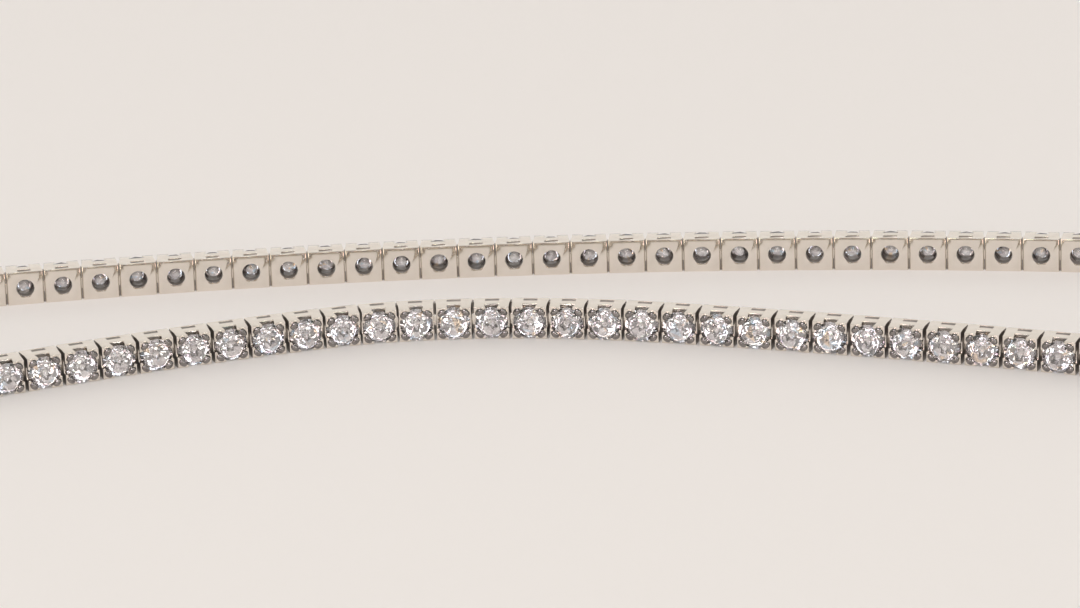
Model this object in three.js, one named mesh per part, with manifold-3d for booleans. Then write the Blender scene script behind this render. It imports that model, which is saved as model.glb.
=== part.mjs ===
// A four-claw diamond tennis bracelet, closed at its clasp and lying on its side, in millimetres.
// Its stones face outward, away from the wrist hollow, and +Z is up across the width of the links.
import * as THREE from "three";
import { ConvexGeometry } from "three/addons/geometries/ConvexGeometry.js";
import { mergeVertices } from "three/addons/utils/BufferGeometryUtils.js";
import Module from "manifold-3d";

// Driving dimensions. A depth is measured outward from the flat back of a link, which lies on the wrist.
const PITCH = 2.1; // hinge to hinge
const WIDTH = 1.9; // across the band, so also its height as it lies
const LINK_GAP = 0.15; // between two links' end walls
const BOX_DEPTH = 1.05; // the square metal box that carries each stone
const HINGE_DEPTH = 0.25;
// The box's corners go on as claws, which lean in over the stone: along and side give a claw's middle.
const CLAW_FOOT = { depth: 0.95, across: 0.52, along: 0.7, side: 0.68 };
const CLAW_TIP = { depth: 1.56, across: 0.36, along: 0.66, side: 0.66 };
const STONE = { radius: 0.9, table: 0.5, facets: 8, tableDepth: 1.5, girdleDepth: 1.3, foot: BOX_DEPTH };
const PAVILION_SLOPE = 0.87; // depth for each unit of radius below the girdle
const TONGUE = { length: 0.56, width: 0.7, back: 0.1, front: 0.72 };
const POCKET_CLEARANCE = 0.1;
const CLASP = { depth: 1.3, bevel: 0.18 }; // it fills the stretch that the links leave open

// The band follows a row of hinges. Each run turns evenly, to the left where its turn is positive.
const RUNS = [
  { name: "out of the clasp", links: 4, turn: 95.0 },
  { name: "back", links: 34, turn: 21.4 },
  { name: "left end", links: 11, turn: 192.6 },
  { name: "front left", links: 9, turn: -8 },
  { name: "front bend", links: 3, turn: -14 },
  { name: "front crest", links: 6, turn: -16 },
  { name: "front right", links: 13, turn: -6 },
  { name: "into the clasp", links: 4, turn: 95.0 },
];
const BACK_RUN_LINKS = 43; // the band is two lengths, which meet at the left end
const START_HEADING = 73.8; // the way the first link points, so that the front lies along X

const degrees = THREE.MathUtils.degToRad;
const wasm = await Module();
wasm.setup();

function solidOf(geometry) {
  const bare = geometry.clone();
  bare.deleteAttribute("normal");
  bare.deleteAttribute("uv");
  const merged = mergeVertices(bare, 1e-5);
  const mesh = new wasm.Mesh({
    numProp: 3,
    vertProperties: new Float32Array(merged.attributes.position.array),
    triVerts: new Uint32Array(merged.index.array),
  });
  return new wasm.Manifold(mesh);
}

function geometryOf(solid) {
  const mesh = solid.getMesh();
  const geometry = new THREE.BufferGeometry();
  geometry.setAttribute("position", new THREE.BufferAttribute(mesh.vertProperties, 3));
  geometry.setIndex(new THREE.BufferAttribute(mesh.triVerts, 1));
  return geometry;
}

// A block given along the band, across it and by its two depths. In a link's own frame the band runs
// along X, outward is -Y and the middle of the width is at zero height.
function block(length, width, back, front) {
  return new THREE.BoxGeometry(length, front - back, width).translate(0, -(back + front) / 2, 0);
}

// The corners of a regular polygon that faces outward at a depth, with a flat towards each axis.
function cornerRing(radius, depth, sides) {
  const corners = [];
  for (let i = 0; i < sides; i++) {
    const angle = (2 * Math.PI * (i + 0.5)) / sides;
    corners.push(new THREE.Vector3(radius * Math.cos(angle), -depth, radius * Math.sin(angle)));
  }
  return corners;
}

// A cut stone: a flat table, eight crown facets and the pavilion that goes down into its box.
function stoneGeometry() {
  const footRadius = STONE.radius - (STONE.girdleDepth - STONE.foot) / PAVILION_SLOPE;
  return new ConvexGeometry([
    ...cornerRing(footRadius, STONE.foot, STONE.facets / 2),
    ...cornerRing(STONE.radius, STONE.girdleDepth, STONE.facets),
    ...cornerRing(STONE.table, STONE.tableDepth, STONE.facets),
  ]);
}

// A claw that narrows to its tip and laps over the girdle of the stone.
function clawGeometry(alongSign, sideSign) {
  const corners = [];
  for (const end of [CLAW_FOOT, CLAW_TIP]) {
    const middle = new THREE.Vector3(alongSign * end.along, 0, sideSign * end.side);
    corners.push(...cornerRing(end.across / Math.SQRT2, end.depth, 4).map((corner) => corner.add(middle)));
  }
  return new ConvexGeometry(corners);
}

// One square setting with its stone and four claws, as a geometry that every link copies.
function settingGeometry() {
  let setting = solidOf(block(PITCH - LINK_GAP, WIDTH, 0, BOX_DEPTH)).add(solidOf(stoneGeometry()));
  for (const alongSign of [-1, 1])
    for (const sideSign of [-1, 1]) setting = setting.add(solidOf(clawGeometry(alongSign, sideSign)));
  return geometryOf(setting);
}

// The hinges' places and the heading of each link, in order along the band.
function bandPath() {
  const hinges = [new THREE.Vector2(0, 0)];
  const headings = [];
  let heading = degrees(START_HEADING);
  for (const run of RUNS)
    for (let i = 0; i < run.links; i++) {
      const step = degrees(run.turn) / run.links;
      heading += step / 2;
      headings.push(heading);
      const last = hinges[hinges.length - 1];
      hinges.push(new THREE.Vector2(last.x + PITCH * Math.cos(heading), last.y + PITCH * Math.sin(heading)));
      heading += step / 2;
    }
  return { hinges, headings };
}

// A geometry made in a link's own frame, put at a point of the hinge row and turned to a heading.
function placed(geometry, point, heading) {
  const along = geometry.clone().translate(0, HINGE_DEPTH, WIDTH / 2);
  return along.rotateZ(heading).translate(point.x, point.y, 0);
}

const { hinges, headings } = bandPath();
const lastHinge = hinges.length - 1;
const setting = settingGeometry();
const tongue = block(TONGUE.length, TONGUE.width, TONGUE.back, TONGUE.front);
const pocket = block(
  TONGUE.length + 2 * POCKET_CLEARANCE,
  TONGUE.width + 2 * POCKET_CLEARANCE,
  -TONGUE.back, // open at the back
  TONGUE.front + POCKET_CLEARANCE,
);

function tongueAt(index, heading, shape) {
  return solidOf(placed(shape, hinges[index], heading));
}

function meanHeading(index) {
  return (headings[index - 1] + headings[index]) / 2;
}

// The links from one hinge to another, joined by their tongues.
function bandLength(first, end) {
  const pieces = [];
  for (let i = first; i < end; i++) {
    const middle = hinges[i].clone().add(hinges[i + 1]).multiplyScalar(0.5);
    pieces.push(solidOf(placed(setting, middle, headings[i])));
    if (i > first) pieces.push(tongueAt(i, meanHeading(i), tongue));
  }
  return pieces.reduce((whole, piece) => whole.add(piece));
}

// Polished white gold; the stones are fused to it and share its material.
const whiteGold = { color: 0xd9d7d4, roughness: 0.12, metalness: 1 };
const loop = new THREE.Group();

function addNode(name, solid) {
  const mesh = new THREE.Mesh(geometryOf(solid), new THREE.MeshStandardMaterial(whiteGold));
  mesh.name = name;
  loop.add(mesh);
}

// Where two pieces meet, one carries the tongue and the other the pocket that it lies in.
const split = BACK_RUN_LINKS;
const claspVector = hinges[0].clone().sub(hinges[lastHinge]);
const claspHeading = claspVector.angle();
const splitPocket = tongueAt(split, headings[split], pocket);
const startPocket = tongueAt(0, claspHeading, pocket);
const endPocket = tongueAt(lastHinge, claspHeading, pocket);

addNode("back_run", bandLength(0, split).subtract(startPocket).add(tongueAt(split, headings[split], tongue)));
addNode("front_run", bandLength(split, lastHinge).subtract(splitPocket).subtract(endPocket));

function claspSolid() {
  const height = WIDTH - 2 * CLASP.bevel;
  const depth = CLASP.depth - 2 * CLASP.bevel;
  const length = claspVector.length() - LINK_GAP - 2 * CLASP.bevel;
  const outline = new THREE.Shape();
  outline.moveTo(-length / 2, -height / 2);
  outline.lineTo(length / 2, -height / 2);
  outline.lineTo(length / 2, height / 2);
  outline.lineTo(-length / 2, height / 2);
  outline.closePath();
  const bar = new THREE.ExtrudeGeometry(outline, {
    depth,
    bevelEnabled: true,
    bevelThickness: CLASP.bevel,
    bevelSize: CLASP.bevel,
    bevelSegments: 1,
  });
  bar.translate(0, 0, CLASP.bevel).rotateX(Math.PI / 2);
  const middle = hinges[0].clone().add(hinges[lastHinge]).multiplyScalar(0.5);
  return solidOf(placed(bar, middle, claspHeading))
    .add(tongueAt(0, claspHeading, tongue))
    .add(tongueAt(lastHinge, claspHeading, tongue));
}
addNode("clasp", claspSolid());

// The origin is the middle of the footprint, on the surface that the bracelet lies on.
const footprint = new THREE.Box3().setFromObject(loop);
const centre = footprint.getCenter(new THREE.Vector3());
loop.position.set(-centre.x, -centre.y, 0);

const bracelet = new THREE.Group();
bracelet.add(loop);
export default bracelet;
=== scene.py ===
import math
import random

import bmesh
import bpy
import numpy as np
from mathutils import Matrix, Vector


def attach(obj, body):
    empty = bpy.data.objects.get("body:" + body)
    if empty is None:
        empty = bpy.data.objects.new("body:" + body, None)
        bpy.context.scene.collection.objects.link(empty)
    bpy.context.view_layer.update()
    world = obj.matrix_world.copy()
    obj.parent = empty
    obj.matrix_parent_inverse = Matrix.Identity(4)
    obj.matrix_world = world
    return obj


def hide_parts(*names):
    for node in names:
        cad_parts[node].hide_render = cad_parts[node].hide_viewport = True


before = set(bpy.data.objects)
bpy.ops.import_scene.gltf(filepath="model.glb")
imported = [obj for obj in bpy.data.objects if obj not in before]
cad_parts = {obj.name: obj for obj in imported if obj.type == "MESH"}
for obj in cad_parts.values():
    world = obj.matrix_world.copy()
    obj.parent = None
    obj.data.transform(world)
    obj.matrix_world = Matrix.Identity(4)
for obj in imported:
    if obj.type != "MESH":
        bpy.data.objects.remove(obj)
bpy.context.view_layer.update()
millimetre = 0.001  # every size below is in millimetres, and meshes are scaled as they are placed
scene = bpy.context.scene


# The band: a row of hinges that the links follow. Depths are outward from the flat back of a link.
band = {
    "pitch": 2.1,
    "width": 1.9,
    "hingeDepth": 0.25,
    "startHeading": 73.8,
    "runs": [  # links and their turn to the left in degrees
        {"name": "out of the clasp", "links": 4, "turn": 95.0},
        {"name": "back", "links": 34, "turn": 21.4},
        {"name": "left end", "links": 11, "turn": 192.6},
        {"name": "front left", "links": 9, "turn": -8.0},
        {"name": "front bend", "links": 3, "turn": -14.0},
        {"name": "front crest", "links": 6, "turn": -16.0},
        {"name": "front right", "links": 13, "turn": -6.0},
        {"name": "into the clasp", "links": 4, "turn": 95.0},
    ],
    "backLinks": 43,
    "halfBox": (0.975, 1.05),  # for the footprint: half length and depth of a link's box
    "clawCorner": (0.84, 1.56),  # and the same of its claws' outer corners
    "clawFoot": (0.96, 0.95),
}


def bandPath():
    hinges = [Vector((0.0, 0.0))]
    headings = []
    heading = math.radians(band["startHeading"])
    for run in band["runs"]:
        step = math.radians(run["turn"]) / run["links"]
        for _ in range(run["links"]):
            heading += step / 2
            headings.append(heading)
            hinges.append(hinges[-1] + band["pitch"] * Vector((math.cos(heading), math.sin(heading))))
            heading += step / 2
    return hinges, headings


def rawPlace(point, heading):
    # A link's own frame has the band along X, outward along -Y and its lower side wall at z = -width / 2.
    seat = Matrix.Translation((0, band["hingeDepth"], band["width"] / 2))
    return Matrix.Translation((point.x, point.y, 0)) @ Matrix.Rotation(heading, 4, "Z") @ seat


hinges, headings = bandPath()
linkMiddles = [(hinges[i] + hinges[i + 1]) / 2 for i in range(len(headings))]


def footprintCentre():
    corners = []
    for point, heading in zip(linkMiddles, headings):
        place = rawPlace(point, heading)
        rows = [(band["halfBox"][0], 0), band["halfBox"], band["clawCorner"], band["clawFoot"]]
        corners += [place @ Vector((side * along, -depth, 0)) for along, depth in rows for side in (-1, 1)]
    low = [min(c[k] for c in corners) for k in range(2)]
    high = [max(c[k] for c in corners) for k in range(2)]
    return Vector(((low[0] + high[0]) / 2, (low[1] + high[1]) / 2, 0))


toFrame = Matrix.Translation(-footprintCentre())


def placeAt(point, heading):
    return toFrame @ rawPlace(point, heading)


linkPlaces = [placeAt(point, heading) for point, heading in zip(linkMiddles, headings)]
hingePlaces = []
for i, hinge in enumerate(hinges):
    before = headings[max(i - 1, 0)]
    after = headings[min(i, len(headings) - 1)]
    hingePlaces.append(placeAt(hinge, (before + after) / 2))
print("band laid out:", len(headings), "links")


# Materials

def linearColour(hexText):
    parts = [int(hexText[k:k + 2], 16) / 255 for k in (1, 3, 5)]
    return [p / 12.92 if p <= 0.04045 else ((p + 0.055) / 1.055) ** 2.4 for p in parts] + [1.0]


def addNode(owner, kind, settings=None, links=None):
    # Settings and links name an input, or number it where a node has two of that name.
    node = owner.node_tree.nodes.new(kind)
    for name, value in (settings or {}).items():
        if isinstance(name, int) or name in node.inputs:
            node.inputs[name].default_value = value
        else:
            setattr(node, name, value)
    for name, source in (links or {}).items():
        owner.node_tree.links.new(source, node.inputs[name])
    return node


def newMaterial(name):
    material = bpy.data.materials.new(name)
    material.use_nodes = True
    shader = material.node_tree.nodes["Principled BSDF"]
    coordinates = addNode(material, "ShaderNodeTexCoord").outputs["Object"]
    return material, shader, coordinates


def drive(owner, shader, name, output):
    owner.node_tree.links.new(output, shader.inputs[name])


whiteGold = {
    "colour": "#ede6dd",
    "scuffedColour": "#ded6cc",
    "roughness": (0.06, 0.14),
    "softSpot": 0.9,  # mm between duller and brighter patches
    "polishLine": 0.03,  # mm, drawn coarser than a real buffing line so that it shows
    "lineStretch": 4.0,  # times as long as it is wide
    "lineDepth": 0.0012,  # mm
}


def whiteGoldMaterial():
    # White gold without plating, mirror polished on a buff. It gives crisp and faintly warm reflections,
    # which soften in patches.
    material, shader, coordinates = newMaterial("polished white gold")
    patches = addNode(material, "ShaderNodeTexNoise",
                      {"Scale": 1 / (whiteGold["softSpot"] * millimetre), "Detail": 3.0,
                       "Roughness": 0.55},
                      {"Vector": coordinates})
    roughness = addNode(material, "ShaderNodeMapRange",
                        {"From Min": 0.35, "From Max": 0.7, "To Min": whiteGold["roughness"][0],
                         "To Max": whiteGold["roughness"][1]},
                        {"Value": patches.outputs["Fac"]})
    tint = addNode(material, "ShaderNodeMix",
                   {"data_type": "RGBA", 6: linearColour(whiteGold["colour"]),
                    7: linearColour(whiteGold["scuffedColour"])},
                   {0: patches.outputs["Fac"]})
    stretch = whiteGold["lineStretch"]
    stretched = addNode(material, "ShaderNodeMapping",
                        {"Scale": (1.0, 1.0, stretch)},
                        {"Vector": coordinates})
    lines = addNode(material, "ShaderNodeTexNoise",
                    {"Scale": 1 / (stretch * whiteGold["polishLine"] * millimetre), "Detail": 2.0},
                    {"Vector": stretched.outputs["Vector"]})
    bump = addNode(material, "ShaderNodeBump",
                   {"Strength": 0.25, "Distance": whiteGold["lineDepth"] * millimetre},
                   {"Height": lines.outputs["Fac"]})
    shader.inputs["Metallic"].default_value = 1.0
    drive(material, shader, "Base Color", tint.outputs[2])
    drive(material, shader, "Roughness", roughness.outputs["Result"])
    drive(material, shader, "Normal", bump.outputs["Normal"])
    return material


# part real cast skin, part painted shade: these colours are darker for the recesses that they are laid in
castAndShadedGold = {
    "colour": "#bfb9b3",
    "shade": "#a09a94",
    "roughness": 0.42,
    "grain": 0.06,  # mm, coarser than a fine casting's skin so that it shows
    "grainDepth": 0.004,  # mm
}


def castAndShadedGoldMaterial():
    # The same white gold as it left the mould, where no buff reaches: a grey, sandy skin. Its colour is
    # also painted darker, as painted shade for the recesses between the links, in the slots and under the
    # stone.
    material, shader, coordinates = newMaterial("cast white gold with painted shade")
    grain = addNode(material, "ShaderNodeTexNoise",
                    {"Scale": 1 / (castAndShadedGold["grain"] * millimetre), "Detail": 2.0},
                    {"Vector": coordinates})
    tint = addNode(material, "ShaderNodeValToRGB", None, {"Fac": grain.outputs["Fac"]})
    tint.color_ramp.elements[0].color = linearColour(castAndShadedGold["shade"])
    tint.color_ramp.elements[1].color = linearColour(castAndShadedGold["colour"])
    bump = addNode(material, "ShaderNodeBump",
                   {"Strength": 0.4, "Distance": castAndShadedGold["grainDepth"] * millimetre},
                   {"Height": grain.outputs["Fac"]})
    shader.inputs["Metallic"].default_value = 1.0
    shader.inputs["Roughness"].default_value = castAndShadedGold["roughness"]
    drive(material, shader, "Base Color", tint.outputs["Color"])
    drive(material, shader, "Normal", bump.outputs["Normal"])
    return material


# the claw heads' colours are painted shade: darker than the white gold, for the dim room that they reflect
clawShadedGold = {
    "colour": "#7c7775",
    "rubbed": "#a29d9a",
    "spread": (0.35, 0.8),  # where the two colours begin, on the scale of the spots
    "roughness": 0.07,
    "spot": 0.25,  # mm between spots that the tool rubbed brighter
}


def clawShadedGoldMaterial():
    # White gold burnished down over the stone with a steel tool. Its colours are darkened as painted shade,
    # standing in for the dim room that the heads reflect, which gives them a greyer gloss than the buffed
    # walls.
    material, shader, coordinates = newMaterial("burnished white gold with painted shade")
    spots = addNode(material, "ShaderNodeTexNoise",
                    {"Scale": 1 / (clawShadedGold["spot"] * millimetre), "Detail": 2.0},
                    {"Vector": coordinates})
    tint = addNode(material, "ShaderNodeValToRGB", None, {"Fac": spots.outputs["Fac"]})
    tint.color_ramp.elements[0].position = clawShadedGold["spread"][0]
    tint.color_ramp.elements[0].color = linearColour(clawShadedGold["colour"])
    tint.color_ramp.elements[1].position = clawShadedGold["spread"][1]
    tint.color_ramp.elements[1].color = linearColour(clawShadedGold["rubbed"])
    shader.inputs["Metallic"].default_value = 1.0
    shader.inputs["Roughness"].default_value = clawShadedGold["roughness"]
    drive(material, shader, "Base Color", tint.outputs["Color"])
    return material


diamond = {
    "fire": [  # painted fire and shade: each colour, and the share of facets at which it begins; the greys darken facets, and the rare blue and orange stand in for dispersion
        (0.0, "#e8e6e7"),
        (0.22, "#d2cdce"),
        (0.44, "#c2bcbf"),
        (0.66, "#e6e3e5"),
        (0.88, "#aea7aa"),
        (0.93, "#c2def6"),
        (0.97, "#fbd3a8"),
    ],
    "ior": 2.417,
}


def diamondPaintedFireMaterial():
    # Cut diamond with lapped facets. It gives hard reflections with no grain at all. Its colour is painted
    # fire
    # and shade that differs by facet: random greys and a few blue and orange tints stand in for dispersion.
    material, shader, _ = newMaterial("cut diamond with painted fire")
    normal = addNode(material, "ShaderNodeNewGeometry").outputs["True Normal"]
    facet = addNode(material, "ShaderNodeTexWhiteNoise", {"noise_dimensions": "3D"}, {"Vector": normal})
    paintedFire = addNode(material, "ShaderNodeValToRGB", None, {"Fac": facet.outputs["Value"]})
    paintedFire.color_ramp.interpolation = "CONSTANT"
    while len(paintedFire.color_ramp.elements) < len(diamond["fire"]):
        paintedFire.color_ramp.elements.new(0.5)
    for k, (position, hexText) in enumerate(diamond["fire"]):
        paintedFire.color_ramp.elements[k].position = position
        paintedFire.color_ramp.elements[k].color = linearColour(hexText)
    shader.inputs["Transmission Weight"].default_value = 1.0
    shader.inputs["IOR"].default_value = diamond["ior"]
    shader.inputs["Roughness"].default_value = 0.0
    drive(material, shader, "Base Color", paintedFire.outputs["Color"])
    return material


girdle = {
    "colour": "#cfc6c6",
    "roughness": 0.45,
    "seeThrough": 0.6,
    "grit": 0.05,  # mm, coarser than the real grit so that it shows
    "gritDepth": 0.002,  # mm
    "steepest": 0.2,  # of a girdle facet's normal along the stone's axis
}


def girdleMaterial():
    # The stone's edge as bruted: ground round against another diamond and never lapped. It is frosty
    # and gives no glints.
    material, shader, coordinates = newMaterial("bruted diamond")
    grit = addNode(material, "ShaderNodeTexNoise",
                   {"Scale": 1 / (girdle["grit"] * millimetre), "Detail": 2.0},
                   {"Vector": coordinates})
    bump = addNode(material, "ShaderNodeBump",
                   {"Strength": 0.3, "Distance": girdle["gritDepth"] * millimetre},
                   {"Height": grit.outputs["Fac"]})
    shader.inputs["Base Color"].default_value = linearColour(girdle["colour"])
    shader.inputs["Transmission Weight"].default_value = girdle["seeThrough"]
    shader.inputs["IOR"].default_value = diamond["ior"]
    shader.inputs["Roughness"].default_value = girdle["roughness"]
    drive(material, shader, "Normal", bump.outputs["Normal"])
    return material


goldMaterial = whiteGoldMaterial()
castAndShadeMaterial = castAndShadedGoldMaterial()
clawShadeMaterial = clawShadedGoldMaterial()
paintedFireStoneMaterial = diamondPaintedFireMaterial()
edgeMaterial = girdleMaterial()
print("materials made")


# Mesh helpers

def objectFrom(name, mesh):
    piece = bpy.data.objects.new(name, mesh)
    scene.collection.objects.link(piece)
    return piece


def meshFromBmesh(name, shape):
    bmesh.ops.recalc_face_normals(shape, faces=shape.faces)
    mesh = bpy.data.meshes.new(name)
    shape.to_mesh(mesh)
    shape.free()
    return mesh


def prism(name, outline, low, high, axis="Z"):
    # An outline of (x, depth) rows pushed along z, or of (z, depth) rows pushed along x.
    shape = bmesh.new()
    rows = []
    for level in (low, high):
        if axis == "Z":
            rows.append([shape.verts.new((x, -depth, level)) for x, depth in outline])
        else:
            rows.append([shape.verts.new((level, -depth, z)) for z, depth in outline])
    shape.faces.new(rows[0])
    shape.faces.new(rows[1])
    for k in range(len(outline)):
        n = (k + 1) % len(outline)
        shape.faces.new((rows[0][k], rows[0][n], rows[1][n], rows[1][k]))
    return objectFrom(name, meshFromBmesh(name, shape))


def turned(name, rings, sides, centre=(0, 0), lean=(0, 0), squeeze=1.0, turn=0.0):
    # A round piece whose axis is outward. Each ring is (radius, depth), and the piece leans from its first
    # ring to its last. A squeeze below one makes it oval, and turn sets the oval's long way.
    shape = bmesh.new()
    rows = []
    span = rings[-1][1] - rings[0][1]
    for radius, depth in rings:
        share = (depth - rings[0][1]) / span
        x, z = centre[0] + share * lean[0], centre[1] + share * lean[1]
        if radius == 0:
            rows.append([shape.verts.new((x, -depth, z))])
            continue
        angles = [2 * math.pi * (k + 0.5) / sides for k in range(sides)]
        oval = [Vector((radius * math.cos(a), squeeze * radius * math.sin(a))) for a in angles]
        across = [Matrix.Rotation(turn, 2) @ point for point in oval]
        rows.append([shape.verts.new((x + point.x, -depth, z + point.y)) for point in across])
    for lower, upper in zip(rows, rows[1:]):
        for k in range(sides):
            n = (k + 1) % sides
            corners = [lower[k % len(lower)], lower[n % len(lower)]]
            corners += [upper[n % len(upper)], upper[k % len(upper)]]
            shape.faces.new(list(dict.fromkeys(corners)))
    for row in (rows[0], rows[-1]):
        if len(row) > 1:
            shape.faces.new(row)
    return objectFrom(name, meshFromBmesh(name, shape))


def evaluated(piece):
    return bpy.data.meshes.new_from_object(piece.evaluated_get(bpy.context.evaluated_depsgraph_get()))


def shaped(piece, joined=(), common=(), cut=(), bevel=0.0, segments=2, angle=28):
    # Joins, trims and cuts with other pieces, rounds the sharp edges, and gives the finished mesh.
    for tools, operation in ((joined, "UNION"), (common, "INTERSECT"), (cut, "DIFFERENCE")):
        for tool in tools:
            step = piece.modifiers.new("shape", "BOOLEAN")
            step.operation = operation
            step.solver = "EXACT"
            step.object = tool
    if bevel:
        edge = piece.modifiers.new("edge", "BEVEL")
        edge.width = bevel
        edge.segments = segments
        edge.limit_method = "ANGLE"
        edge.angle_limit = math.radians(angle)
    mesh = evaluated(piece)
    for used in [piece, *joined, *common, *cut]:
        bpy.data.objects.remove(used)
    return mesh


def meshArrays(mesh):
    points = np.empty(len(mesh.vertices) * 3)
    mesh.vertices.foreach_get("co", points)
    sizes = np.empty(len(mesh.polygons), int)
    mesh.polygons.foreach_get("loop_total", sizes)
    corners = np.empty(len(mesh.loops), int)
    mesh.loops.foreach_get("vertex_index", corners)
    return points.reshape(-1, 3), sizes, corners


def repeated(name, meshes, places, materials, smoothAngle=None, finishes=None):
    # One mesh holding a copy of meshes[k] at places[k], in metres. finishes(mesh) gives the number of
    # each face's material.
    points, sizes, corners = [], [], []
    count = 0
    for mesh, place in zip(meshes, places):
        here, faceSizes, faceCorners = meshArrays(mesh)
        turn = np.array(place)
        points.append((here @ turn[:3, :3].T + turn[:3, 3]) * millimetre)
        sizes.append(faceSizes)
        corners.append(faceCorners + count)
        count += len(here)
    points, sizes, corners = np.vstack(points), np.concatenate(sizes), np.concatenate(corners)
    whole = bpy.data.meshes.new(name)
    whole.vertices.add(len(points))
    whole.vertices.foreach_set("co", points.ravel())
    whole.loops.add(len(corners))
    whole.loops.foreach_set("vertex_index", corners)
    whole.polygons.add(len(sizes))
    whole.polygons.foreach_set("loop_start", np.concatenate(([0], np.cumsum(sizes)[:-1])))
    whole.update(calc_edges=True)
    whole.validate()
    if smoothAngle is not None:
        whole.shade_smooth()
        whole.set_sharp_from_angle(angle=math.radians(smoothAngle))
    for material in materials:
        whole.materials.append(material)
    if finishes is not None:
        chosen = {mesh.name: finishes(mesh) for mesh in set(meshes)}
        whole.polygons.foreach_set("material_index", np.concatenate([chosen[mesh.name] for mesh in meshes]))
    return objectFrom(name, whole)


# One square setting

setting = {
    "length": 1.91,
    "backLength": 2.05,  # the end walls come closest at the hinge
    "faceLength": 1.88,
    "faceWidth": 1.82,
    "depth": 1.38,  # to the corners that carry the claws
    "hingeRelief": (0.1, 0.2),  # depths between which the end walls stand out to the hinge
    "taperFrom": 0.95,
    "endTaper": 0.85,  # the end walls draw in from this share of that depth
    "seat": [(0.50, -0.3), (0.50, 0.5), (0.83, 1.05), (0.88, 1.25), (0.88, 1.9)],  # radius and depth
    "seatSides": 40,
    "slot": {"length": 0.76, "height": 0.32, "depth": 0.29, "floor": 0.88},
    "sideWindow": {"floor": 0.90, "foot": 0.84, "top": 0.50},
    "endWindow": {"floor": 1.06, "foot": 0.72, "top": 0.50},
    "edge": 0.03,
    "cutOver": 0.4,  # how far a window's cutting block stands past the face
    "cutReach": 2,  # and how far it reaches each way
    "trimOver": 0.1,  # how far the block that tapers the side walls stands past the link
}
claw = {
    "foot": (0.68, 0.66),
    "tip": (0.655, 0.63),
    "radius": 0.255,
    "squeeze": 0.70,  # each head is a bead that lies along the edge of its stone
    "footDepth": 1.0,
    "shoulderDepth": 1.41,
    "domeHeight": 0.145,
    "domeSteps": 5,
    "sides": 20,
}


def clawPiece(alongSign, sideSign):
    rings = [(claw["radius"], claw["footDepth"]), (claw["radius"], claw["shoulderDepth"])]
    steps = claw["domeSteps"]
    for k in range(1, steps + 1):
        angle = k * math.pi / (2 * steps)
        height = claw["shoulderDepth"] + claw["domeHeight"] * math.sin(angle)
        rings.append((claw["radius"] * math.cos(angle) if k < steps else 0, height))
    foot = (alongSign * claw["foot"][0], sideSign * claw["foot"][1])
    lean = (alongSign * (claw["tip"][0] - claw["foot"][0]),
            sideSign * (claw["tip"][1] - claw["foot"][1]))
    turn = -alongSign * sideSign * math.pi / 4
    return turned("claw", rings, claw["sides"], foot, lean, claw["squeeze"], turn)


def windowCut(window, axis):
    # Open towards the face and narrower there, so the corners lean over the stone.
    top, reach = setting["depth"] + setting["cutOver"], setting["cutReach"]
    outline = [(-window["foot"] / 2, window["floor"]), (window["foot"] / 2, window["floor"]),
               (window["top"] / 2, top), (-window["top"] / 2, top)]
    return prism("window", outline, -reach, reach, axis)


def slotCut(side):
    slot = setting["slot"]
    low, high = slot["depth"] - slot["height"] / 2, slot["depth"] + slot["height"] / 2
    half = slot["length"] / 2
    outline = [(-half, low), (half, low), (half, high), (-half, high)]
    return prism("slot", outline, side * slot["floor"], side * setting["cutReach"])


def settingMesh():
    half, back, face = setting["length"] / 2, setting["backLength"] / 2, setting["faceLength"] / 2
    depth, taperFrom, over = setting["depth"], setting["taperFrom"], setting["trimOver"]
    reliefs = [(back, d) for d in setting["hingeRelief"]]
    right = [(half, 0), *reliefs, (half, taperFrom * setting["endTaper"]), (face, depth)]
    outline = right + [(-x, d) for x, d in reversed(right)]
    width, faceWidth = band["width"] / 2, setting["faceWidth"] / 2
    sides = [(width, -over), (width, taperFrom), (faceWidth, depth), (faceWidth, depth + over)]
    reach = setting["cutReach"]
    trim = prism("trim", sides + [(-z, d) for z, d in reversed(sides)], -reach, reach, "X")
    box = prism("box", outline, -width, width)
    cuts = [turned("seat", setting["seat"], setting["seatSides"]), slotCut(1), slotCut(-1),
            windowCut(setting["sideWindow"], "Z"), windowCut(setting["endWindow"], "X")]
    body = objectFrom("body", shaped(box, common=[trim], cut=cuts, bevel=setting["edge"]))
    claws = [clawPiece(a, b) for a in (-1, 1) for b in (-1, 1)]
    return shaped(body, joined=claws)


# The hinge between two links: a tongue with rounded edges, and a barrel behind it

tongue = {"length": 0.56, "width": 0.66, "back": 0.12, "front": 0.72, "edge": 0.07, "edgeSteps": 3}
knuckle = {"radius": 0.17, "depth": 0.30, "length": 1.76, "sides": 16}


def tongueMesh():
    half, low, high = tongue["length"] / 2, tongue["back"], tongue["front"]
    bar = prism("tongue", [(-half, low), (half, low), (half, high), (-half, high)],
                -tongue["width"] / 2, tongue["width"] / 2)
    return shaped(bar, bevel=tongue["edge"], segments=tongue["edgeSteps"])


def knuckleMesh():
    # The barrel behind a tongue, across the band, in the cast gold whose darker colour is partly painted
    # shade.
    radius, depth, half = knuckle["radius"], knuckle["depth"], knuckle["length"] / 2
    angles = [2 * math.pi * k / knuckle["sides"] for k in range(knuckle["sides"])]
    outline = [(radius * math.cos(a), depth + radius * math.sin(a)) for a in angles]
    return shaped(prism("knuckle", outline, -half, half))


# A round brilliant: table, 8 stars, 8 kites and 16 upper halves over 8 kites and 16 lower halves.
# The cut is a little uneven, so a kite isn't flat and is split in two.

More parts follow.
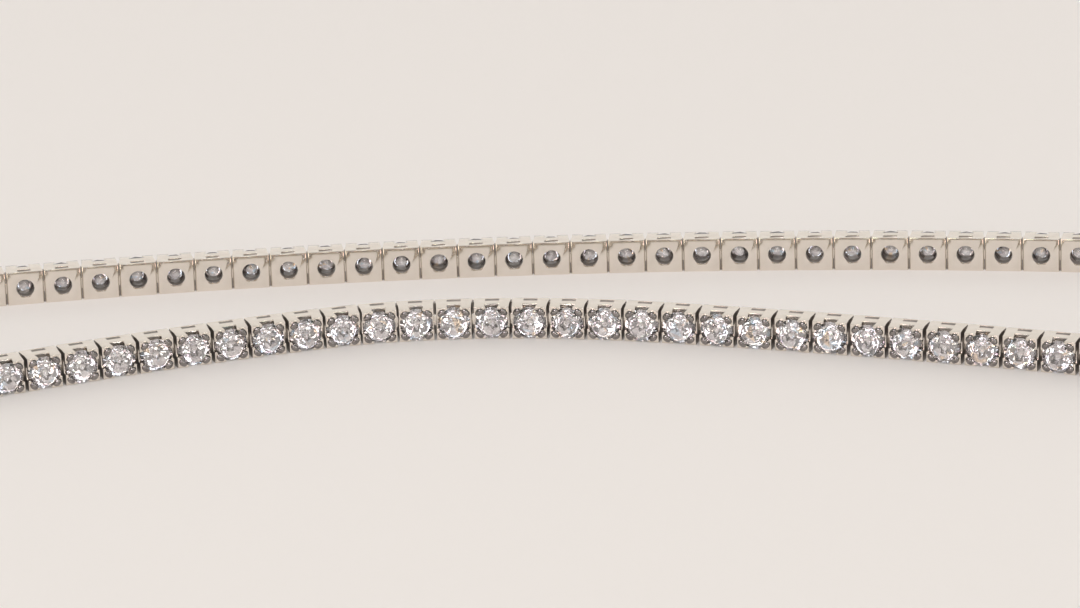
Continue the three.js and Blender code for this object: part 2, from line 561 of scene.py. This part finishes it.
brilliant = {
    "radius": 0.90,
    "tableRadius": 0.50,
    "tableDepth": 1.53,
    "girdle": (1.275, 1.305),  # depths of the widest part, from its lower to its upper rim
    "culetDepth": 0.53,
    "starRadius": 0.69,
    "lowerHalfRadius": 0.22,
    "slip": 0.016,  # how far a small stone's facet corners stray from their true places
    "cuts": 14,  # different stones, which the links draw from
    "seed": 5,
}


def brilliantMesh(rng):
    def slip():
        return rng.uniform(-brilliant["slip"], brilliant["slip"])

    table, edge, radius = brilliant["tableRadius"] + slip(), brilliant["girdle"], brilliant["radius"]
    culetDepth = brilliant["culetDepth"] + 2 * slip()
    crownSlope = (brilliant["tableDepth"] - edge[1]) / (radius - table)
    inner = math.cos(math.pi / 8)
    starDepth = brilliant["tableDepth"] - crownSlope * (brilliant["starRadius"] * inner - table)
    pavilionSlope = (edge[0] - culetDepth) / radius
    lowerDepth = culetDepth + pavilionSlope * brilliant["lowerHalfRadius"] * inner
    shape = bmesh.new()

    def ring(r, depth, count, offset, loose=False):
        angles = [2 * math.pi * (k + offset) / count for k in range(count)]
        reach = [(r + 2 * slip(), depth + slip()) if loose else (r, depth) for _ in angles]
        return [shape.verts.new((u * math.cos(a), -v, u * math.sin(a))) for a, (u, v) in zip(angles, reach)]

    tableRow = ring(table, brilliant["tableDepth"], 8, 0)
    starRow = ring(brilliant["starRadius"], starDepth, 8, 0.5, True)
    upperRow = ring(radius, edge[1], 16, 0)
    lowerRow = ring(radius, edge[0], 16, 0)
    halfRow = ring(brilliant["lowerHalfRadius"], lowerDepth, 8, 0.5, True)
    culet = shape.verts.new((2 * slip(), -culetDepth, 2 * slip()))
    shape.faces.new(tableRow)
    for k in range(8):
        n, p = (k + 1) % 8, (k - 1) % 8
        main, middle, nextMain = 2 * k, 2 * k + 1, (2 * k + 2) % 16
        shape.faces.new((tableRow[k], tableRow[n], starRow[k]))
        shape.faces.new((tableRow[k], starRow[k], upperRow[main], starRow[p]))
        shape.faces.new((starRow[k], upperRow[main], upperRow[middle]))
        shape.faces.new((starRow[k], upperRow[middle], upperRow[nextMain]))
        shape.faces.new((culet, halfRow[k], lowerRow[main], halfRow[p]))
        shape.faces.new((halfRow[k], lowerRow[main], lowerRow[middle]))
        shape.faces.new((halfRow[k], lowerRow[middle], lowerRow[nextMain]))
    for k in range(16):
        n = (k + 1) % 16
        shape.faces.new((upperRow[k], upperRow[n], lowerRow[n], lowerRow[k]))
    bmesh.ops.triangulate(shape, faces=[f for f in shape.faces if len(f.verts) == 4])
    return meshFromBmesh("brilliant", shape)


stoneLay = {
    "seed": 11,
    "tilt": 5.0,  # degrees that a stone may lean in its claws
}


def stonePlaces(places):
    rng = random.Random(stoneLay["seed"])
    laid = []
    centre = Vector((0, -brilliant["girdle"][0], 0))
    for place in places:
        spin = Matrix.Rotation(rng.uniform(0, math.pi / 4), 4, "Y")
        lean = math.radians(stoneLay["tilt"])
        tilt = Matrix.Rotation(rng.uniform(-lean, lean), 4, "X")
        tilt = tilt @ Matrix.Rotation(rng.uniform(-lean, lean), 4, "Z")
        laid.append(place @ Matrix.Translation(centre) @ tilt @ spin @ Matrix.Translation(-centre))
    return laid


def stoneFinishes(mesh):
    # 0 lapped facets, 1 the bruted edge all round
    return np.array([int(abs(face.normal.y) < girdle["steepest"]) for face in mesh.polygons])


buffingAndShadeMask = {  # what tells a face that the buff reaches from one that it leaves as cast, and picks the faces that take painted shade
    "near": 0.01,  # mm that a slot's face may lie outside its outline
    "backRim": 0.05,  # mm of the seat's wall, at the back, that the buff reaches
    "endFrom": 0.9,  # mm from a link's middle to where its end walls may begin
    "endFacing": 0.9,  # of an end wall's normal along the band
    "headFacing": 0.2,  # of a claw head's normal outward; these heads take the painted shade
}


def inSlot(x, depth, z):
    slot, near = setting["slot"], buffingAndShadeMask["near"]
    alongIt = abs(x) < slot["length"] / 2 + near
    acrossIt = abs(depth - slot["depth"]) < slot["height"] / 2 + near
    return alongIt and acrossIt and slot["floor"] - near < abs(z) < band["width"] / 2 - setting["edge"]


def underStone(x, depth, z, normal):
    inwards = x * normal.x + z * normal.z < 0
    within = math.hypot(x, z) < setting["seat"][-1][0]
    return inwards and within and buffingAndShadeMask["backRim"] < depth < claw["shoulderDepth"]


def settingFinishesAndShade(mesh):
    # 0 polished, 1 left as cast with painted shade, between the links, in the slots and under the stone, 2
    # burnished claw heads with painted shade
    finishes = []
    for face in mesh.polygons:
        x, y, z = face.center
        # claw heads, then the cast faces, take colours darkened as painted shade
        if -y > claw["shoulderDepth"] and face.normal.y < -buffingAndShadeMask["headFacing"]:
            finishes.append(2)
        elif abs(face.normal.x) > buffingAndShadeMask["endFacing"] and abs(x) > buffingAndShadeMask["endFrom"]:
            finishes.append(1)
        elif inSlot(x, -y, z) or underStone(x, -y, z, face.normal):
            finishes.append(1)
        else:
            finishes.append(0)
    return np.array(finishes)


oneSetting = settingMesh()
oneTongue = tongueMesh()
oneKnuckle = knuckleMesh()
cutter = random.Random(brilliant["seed"])
stoneCuts = [brilliantMesh(cutter) for _ in range(brilliant["cuts"])]
stoneOrder = random.Random(stoneLay["seed"] + 1).choices(stoneCuts, k=len(headings))
print("one link made:", len(oneSetting.polygons), "faces in its setting")

runs = {
    "back": range(0, band["backLinks"]),
    "front": range(band["backLinks"], len(headings)),
}
allStones = stonePlaces(linkPlaces)
for side, links in runs.items():
    links = list(links)
    settings = repeated(side + "_settings", [oneSetting] * len(links), [linkPlaces[i] for i in links],
                        [goldMaterial, castAndShadeMaterial, clawShadeMaterial], 30, settingFinishesAndShade)
    inner = links[1:] + ([links[-1] + 1] if side == "back" else [])
    joints = [hingePlaces[i] for i in inner]
    tongues = repeated(side + "_tongues", [oneTongue] * len(inner), joints, [goldMaterial], 30)
    knuckles = repeated(side + "_knuckles", [oneKnuckle] * len(inner), joints, [castAndShadeMaterial], 40)
    stones = repeated(side + "_stones", [stoneOrder[i] for i in links], [allStones[i] for i in links],
                      [paintedFireStoneMaterial, edgeMaterial], finishes=stoneFinishes)
    for piece in (settings, tongues, knuckles, stones):
        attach(piece, "root")
    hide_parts(side + "_run")
    print(side, "run dressed:", len(links), "links,", len(settings.data.polygons), "setting faces")


# The clasp: a plain round-edged bar over the stretch that the links leave open, with a tongue at each end

clasp = {"depth": 1.3, "clearance": 0.15, "edge": 0.18, "edgeSteps": 5}


def claspPiece():
    span = hinges[0] - hinges[-1]
    heading = math.atan2(span.y, span.x)
    half = (span.length - clasp["clearance"]) / 2
    outline = [(-half, 0), (half, 0), (half, clasp["depth"]), (-half, clasp["depth"])]
    bar = shaped(prism("clasp", outline, -band["width"] / 2, band["width"] / 2),
                 bevel=clasp["edge"], segments=clasp["edgeSteps"])
    places = [placeAt(point, heading) for point in ((hinges[0] + hinges[-1]) / 2, hinges[0], hinges[-1])]
    return repeated("clasp_bar", [bar, oneTongue, oneTongue], places, [goldMaterial], 40)


claspBar = claspPiece()
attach(claspBar, "root")
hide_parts("clasp")
print("clasp dressed")


# Floor, light and camera

floor = {"colour": "#e3dfda", "size": 1.2, "roughness": 0.6, "glow": 0.22}
shape = bmesh.new()
bmesh.ops.create_grid(shape, x_segments=1, y_segments=1, size=floor["size"])
floorPiece = objectFrom("floor", meshFromBmesh("floor", shape))
floorMaterial, floorShader, _ = newMaterial("matt acrylic with painted glow")
floorShader.inputs["Base Color"].default_value = linearColour(floor["colour"])
floorShader.inputs["Roughness"].default_value = floor["roughness"]
# the floor's emission is a painted glow that lightens the shade under the bracelet
floorShader.inputs["Emission Color"].default_value = linearColour(floor["colour"])
floorShader.inputs["Emission Strength"].default_value = floor["glow"]  # painted glow: the floor emits light of its own, as if lit a little from below
floorPiece.data.materials.append(floorMaterial)

studio = {
    "dome": "#fffbf6",
    "domeBright": 1.2,  # the lit tent behind, above and beside the bracelet
    "tent": (-0.75, 0.9),  # it grows from nothing to that from front to back, on a dome of radius 1
    "front": (-0.15, -0.35),  # where its open front begins and is fully open
    "room": (0.07, 0.45),  # the dim room that the front looks into, from its darkest to its palest wall
    "wallSpan": 0.5,  # how wide such a wall is
    "bulb": 7.5,  # small lamps in the open front, which the stones break up into sparkle
    "bulbSpacing": 0.34,
    "bulbRadius": 0.12,
    "bulbCore": 0.8,  # share of that radius which is fully bright
    "fire": 0.3,  # how far a lamp's colour strays from white, as a diamond spreads it
    "lamps": [  # direction from the bracelet in degrees, distance and size in metres, watts
        {"name": "key", "azimuth": -30, "elevation": 44, "distance": 0.7, "size": 0.20, "power": 1.3},
        {"name": "fill", "azimuth": 44, "elevation": 38, "distance": 0.8, "size": 0.14, "power": 0.7},
    ],
}


def directionOf(azimuth, elevation):
    # Azimuth 0 is in front, at -Y, and positive is towards +X.
    a, e = math.radians(azimuth), math.radians(elevation)
    return Vector((math.sin(a) * math.cos(e), -math.cos(a) * math.cos(e), math.sin(e)))


def addLamps():
    for row in studio["lamps"]:
        light = bpy.data.lights.new(row["name"], "AREA")
        light.shape = "DISK"
        light.size = row["size"]
        light.energy = row["power"]
        lamp = bpy.data.objects.new(row["name"], light)
        direction = directionOf(row["azimuth"], row["elevation"])
        lamp.location = direction * row["distance"]
        lamp.rotation_euler = direction.to_track_quat("Z", "Y").to_euler()
        scene.collection.objects.link(lamp)


def addTent():
    # A bright tent whose open front looks into a dim room with a scatter of small lamps.
    world = bpy.data.worlds.new("soft tent")
    scene.world = world
    world.use_nodes = True
    direction = addNode(world, "ShaderNodeTexCoord").outputs["Generated"]
    split = addNode(world, "ShaderNodeSeparateXYZ", None, {"Vector": direction})
    tent = addNode(world, "ShaderNodeMapRange",
                   {"interpolation_type": "SMOOTHSTEP", "From Min": studio["tent"][0],
                    "From Max": studio["tent"][1], "To Min": 0.0, "To Max": studio["domeBright"]},
                   {"Value": split.outputs["Y"]})
    walls = addNode(world, "ShaderNodeTexVoronoi",
                    {"Scale": 1 / studio["wallSpan"]},
                    {"Vector": direction})
    wallTone = addNode(world, "ShaderNodeSeparateColor", None, {"Color": walls.outputs["Color"]})
    room = addNode(world, "ShaderNodeMapRange",
                   {"To Min": studio["room"][0], "To Max": studio["room"][1]},
                   {"Value": wallTone.outputs["Red"]})
    cells = addNode(world, "ShaderNodeTexVoronoi",
                    {"Scale": 1 / studio["bulbSpacing"], "Randomness": 0.8}, {"Vector": direction})
    edge = studio["bulbRadius"] / studio["bulbSpacing"]
    bulbs = addNode(world, "ShaderNodeMapRange",
                    {"From Min": edge, "From Max": edge * studio["bulbCore"], "To Min": 0.0, "To Max": 1.0},
                    {"Value": cells.outputs["Distance"]})
    front = addNode(world, "ShaderNodeMapRange",
                    {"From Min": studio["front"][0], "From Max": studio["front"][1], "To Min": 0.0,
                     "To Max": 1.0},
                    {"Value": split.outputs["Y"]})
    litRoom = addNode(world, "ShaderNodeMath", {"operation": "MULTIPLY_ADD", 1: studio["bulb"]},
                      {0: bulbs.outputs["Result"], 2: room.outputs["Result"]})
    total = addNode(world, "ShaderNodeMath", {"operation": "MULTIPLY_ADD"},
                    {0: litRoom.outputs["Value"], 1: front.outputs["Result"], 2: tent.outputs["Result"]})
    stray = addNode(world, "ShaderNodeMath", {"operation": "MULTIPLY", 1: studio["fire"]},
                    {0: bulbs.outputs["Result"]})
    frontStray = addNode(world, "ShaderNodeMath", {"operation": "MULTIPLY"},
                         {0: stray.outputs["Value"], 1: front.outputs["Result"]})
    hue = addNode(world, "ShaderNodeMix", {"data_type": "RGBA", 6: linearColour(studio["dome"])},
                  {0: frontStray.outputs["Value"], 7: cells.outputs["Color"]})
    background = world.node_tree.nodes["Background"]
    drive(world, background, "Color", hue.outputs[2])
    drive(world, background, "Strength", total.outputs["Value"])


view = {
    "elevation": 19.8,
    "roll": -1.8,
    "distance": 0.326,
    "lens": 200.0,
    "sensor": 36.0,
    "nearest": 0.01,  # m
    "crestHinge": 65,  # the hinge that the photo has at crestPixel
    "crestPixel": (588.7, 316.5),
    "framePixels": (1080, 608),
}


def addCamera():
    camera = bpy.data.cameras.new("camera")
    camera.lens = view["lens"]
    camera.sensor_width = view["sensor"]
    camera.clip_start = view["nearest"]
    holder = bpy.data.objects.new("camera", camera)
    scene.collection.objects.link(holder)
    scene.camera = holder
    towards = -directionOf(0, view["elevation"])
    side = towards.cross(Vector((0, 0, 1))).normalized()
    up = side.cross(towards)
    roll = math.radians(view["roll"])
    rolledSide = math.cos(roll) * side + math.sin(roll) * up
    rolledUp = -math.sin(roll) * side + math.cos(roll) * up
    crest = toFrame @ Vector((*hinges[view["crestHinge"]], band["width"] / 2))
    perPixel = view["distance"] / (view["lens"] / view["sensor"] * view["framePixels"][0])
    right = (view["framePixels"][0] / 2 - view["crestPixel"][0]) * perPixel
    above = (view["crestPixel"][1] - view["framePixels"][1] / 2) * perPixel
    aim = crest * millimetre + rolledSide * right + rolledUp * above
    holder.matrix_world = Matrix.Translation(aim - towards * view["distance"]) @ Matrix(
        (rolledSide, rolledUp, -towards)).transposed().to_4x4()


taking = {
    "glossyBounces": 10,  # light turns many times inside a stone
    "allBounces": 16,
    "exposure": -0.42,
}

addLamps()
addTent()
addCamera()
scene.cycles.use_denoising = True
scene.cycles.glossy_bounces = taking["glossyBounces"]
scene.cycles.max_bounces = taking["allBounces"]
scene.view_settings.view_transform = "Standard"
scene.view_settings.exposure = taking["exposure"]


lens = {"threshold": 1.2, "strength": 0.6, "size": 0.1}


def addBloom():
    # A lens spreads the brightest glints into small soft discs.
    scene.use_nodes = True
    scene.node_tree.nodes.clear()
    taken = addNode(scene, "CompositorNodeRLayers")
    glare = addNode(scene, "CompositorNodeGlare",
                    {"glare_type": "BLOOM", "quality": "HIGH", "Threshold": lens["threshold"],
                     "Strength": lens["strength"], "Size": lens["size"]},
                    {"Image": taken.outputs["Image"]})
    addNode(scene, "CompositorNodeComposite", None, {"Image": glare.outputs["Image"]})


addBloom()
print("floor, light and camera set")
